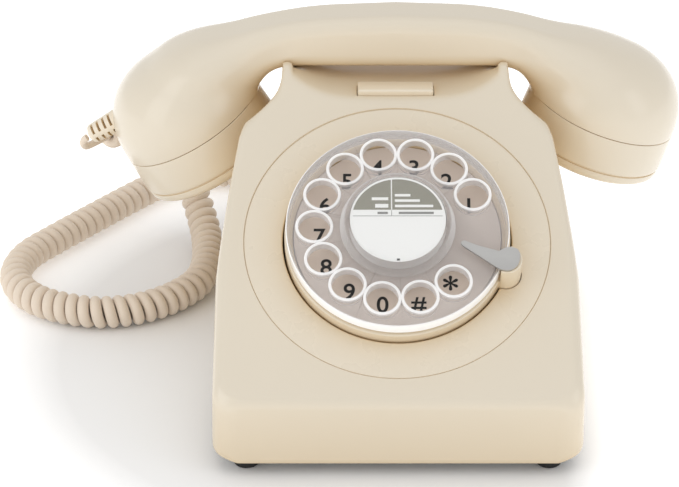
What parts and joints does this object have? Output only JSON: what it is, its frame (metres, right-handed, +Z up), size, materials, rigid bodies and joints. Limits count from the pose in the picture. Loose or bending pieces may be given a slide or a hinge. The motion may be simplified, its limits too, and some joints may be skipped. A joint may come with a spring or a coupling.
{
  "type": "desk telephone",
  "caption": "Corded desk telephone with a rotary dial, a handset resting across four cradle horns and a curly handset cord.",
  "frame": {"origin": "centre of the footprint on the table, under the middle of the phone", "axes": "+Z up, the dial and the caller face -Y, the earpiece end of the handset points to +X"},
  "size_m": [0.3096, 0.2773, 0.146],
  "materials": {
    "ivory_plastic": "smooth gloss",
    "recess_plastic": "smooth gloss",
    "cord_plastic": "satin",
    "plate_plastic": "satin",
    "clear_plastic": "polished clear acrylic",
    "card": "printed card, matt",
    "steel": "satin",
    "brass": "polished",
    "black_plastic": "matt",
    "rubber": "matt",
    "circuit_green": "varnished board",
    "copper": "enamelled copper winding"
  },
  "bodies": {
    "case": {"case_shell": "ivory_plastic", "base_plate": "steel", "foot_front_right": "rubber", "foot_front_left": "rubber", "foot_rear_right": "rubber", "foot_rear_left": "rubber", "base_screw_1": "steel", "base_screw_2": "steel", "base_screw_3": "steel", "base_screw_4": "steel", "dial_surround": "recess_plastic", "dial_ring": "ivory_plastic", "number_plate": "plate_plastic", "dial_back_plate": "steel", "spring_barrel": "steel", "pulse_contacts": "black_plastic", "finger_stop": "steel", "hook_switch": "black_plastic", "switch_bracket": "steel", "gong_left": "brass", "gong_post_left": "steel", "gong_right": "brass", "gong_post_right": "steel", "ringer_coil": "copper", "clapper_post": "steel", "circuit_board": "circuit_green", "line_jack": "black_plastic", "cord_gland": "cord_plastic", "cord_lead_handset": "cord_plastic", "cord_coil": "cord_plastic", "cord_lead_base": "cord_plastic"},
    "handset": {"handset_body": "ivory_plastic", "earpiece_cap": "ivory_plastic", "mouthpiece_cap": "ivory_plastic", "receiver_capsule": "steel", "microphone_capsule": "black_plastic", "cord_boot": "cord_plastic"},
    "dial": {"finger_wheel": "clear_plastic", "label_holder": "clear_plastic", "label_card": "card", "label_cover": "clear_plastic", "dial_spindle": "steel", "dial_gear": "brass"},
    "governor": {"governor_pinion": "brass", "governor_shaft": "steel", "governor_drum": "brass"},
    "hook": {"hook_bar": "ivory_plastic"},
    "clapper": {"clapper": "steel"}
  },
  "joints": [
    {"name": "handset_lift", "type": "slide", "parent": "case", "child": "handset", "axis": [0, 0, 1], "range_m": [0, 0.12]},
    {"name": "dial_turn", "type": "hinge", "parent": "case", "child": "dial", "pos_m": [0, -0.04046, 0.07812], "axis": [0, 0.5519, -0.8339], "range_deg": [0, 315], "stiffness_Nm_per_rad": 0.006, "springref_deg": -85.94},
    {"name": "governor_spin", "type": "hinge", "parent": "case", "child": "governor", "pos_m": [0.03335, -0.04046, 0.07812], "axis": [0, 0.5519, -0.8339], "range_deg": [-1270, 10]},
    {"name": "hook_rise", "type": "slide", "parent": "case", "child": "hook", "axis": [0, 0, 1], "range_m": [0, 0.005]},
    {"name": "clapper_swing", "type": "hinge", "parent": "case", "child": "clapper", "pos_m": [0, 0.037, 0.035], "axis": [0, 0, 1], "range_deg": [-2.5, 2.5], "stiffness_Nm_per_rad": 0.02}
  ],
  "couplings": [
    {"joint": "governor_spin", "follows": "dial_turn", "ratio": -4},
    {"joint": "hook_rise", "follows": "handset_lift", "ratio": 0.04}
  ]
}
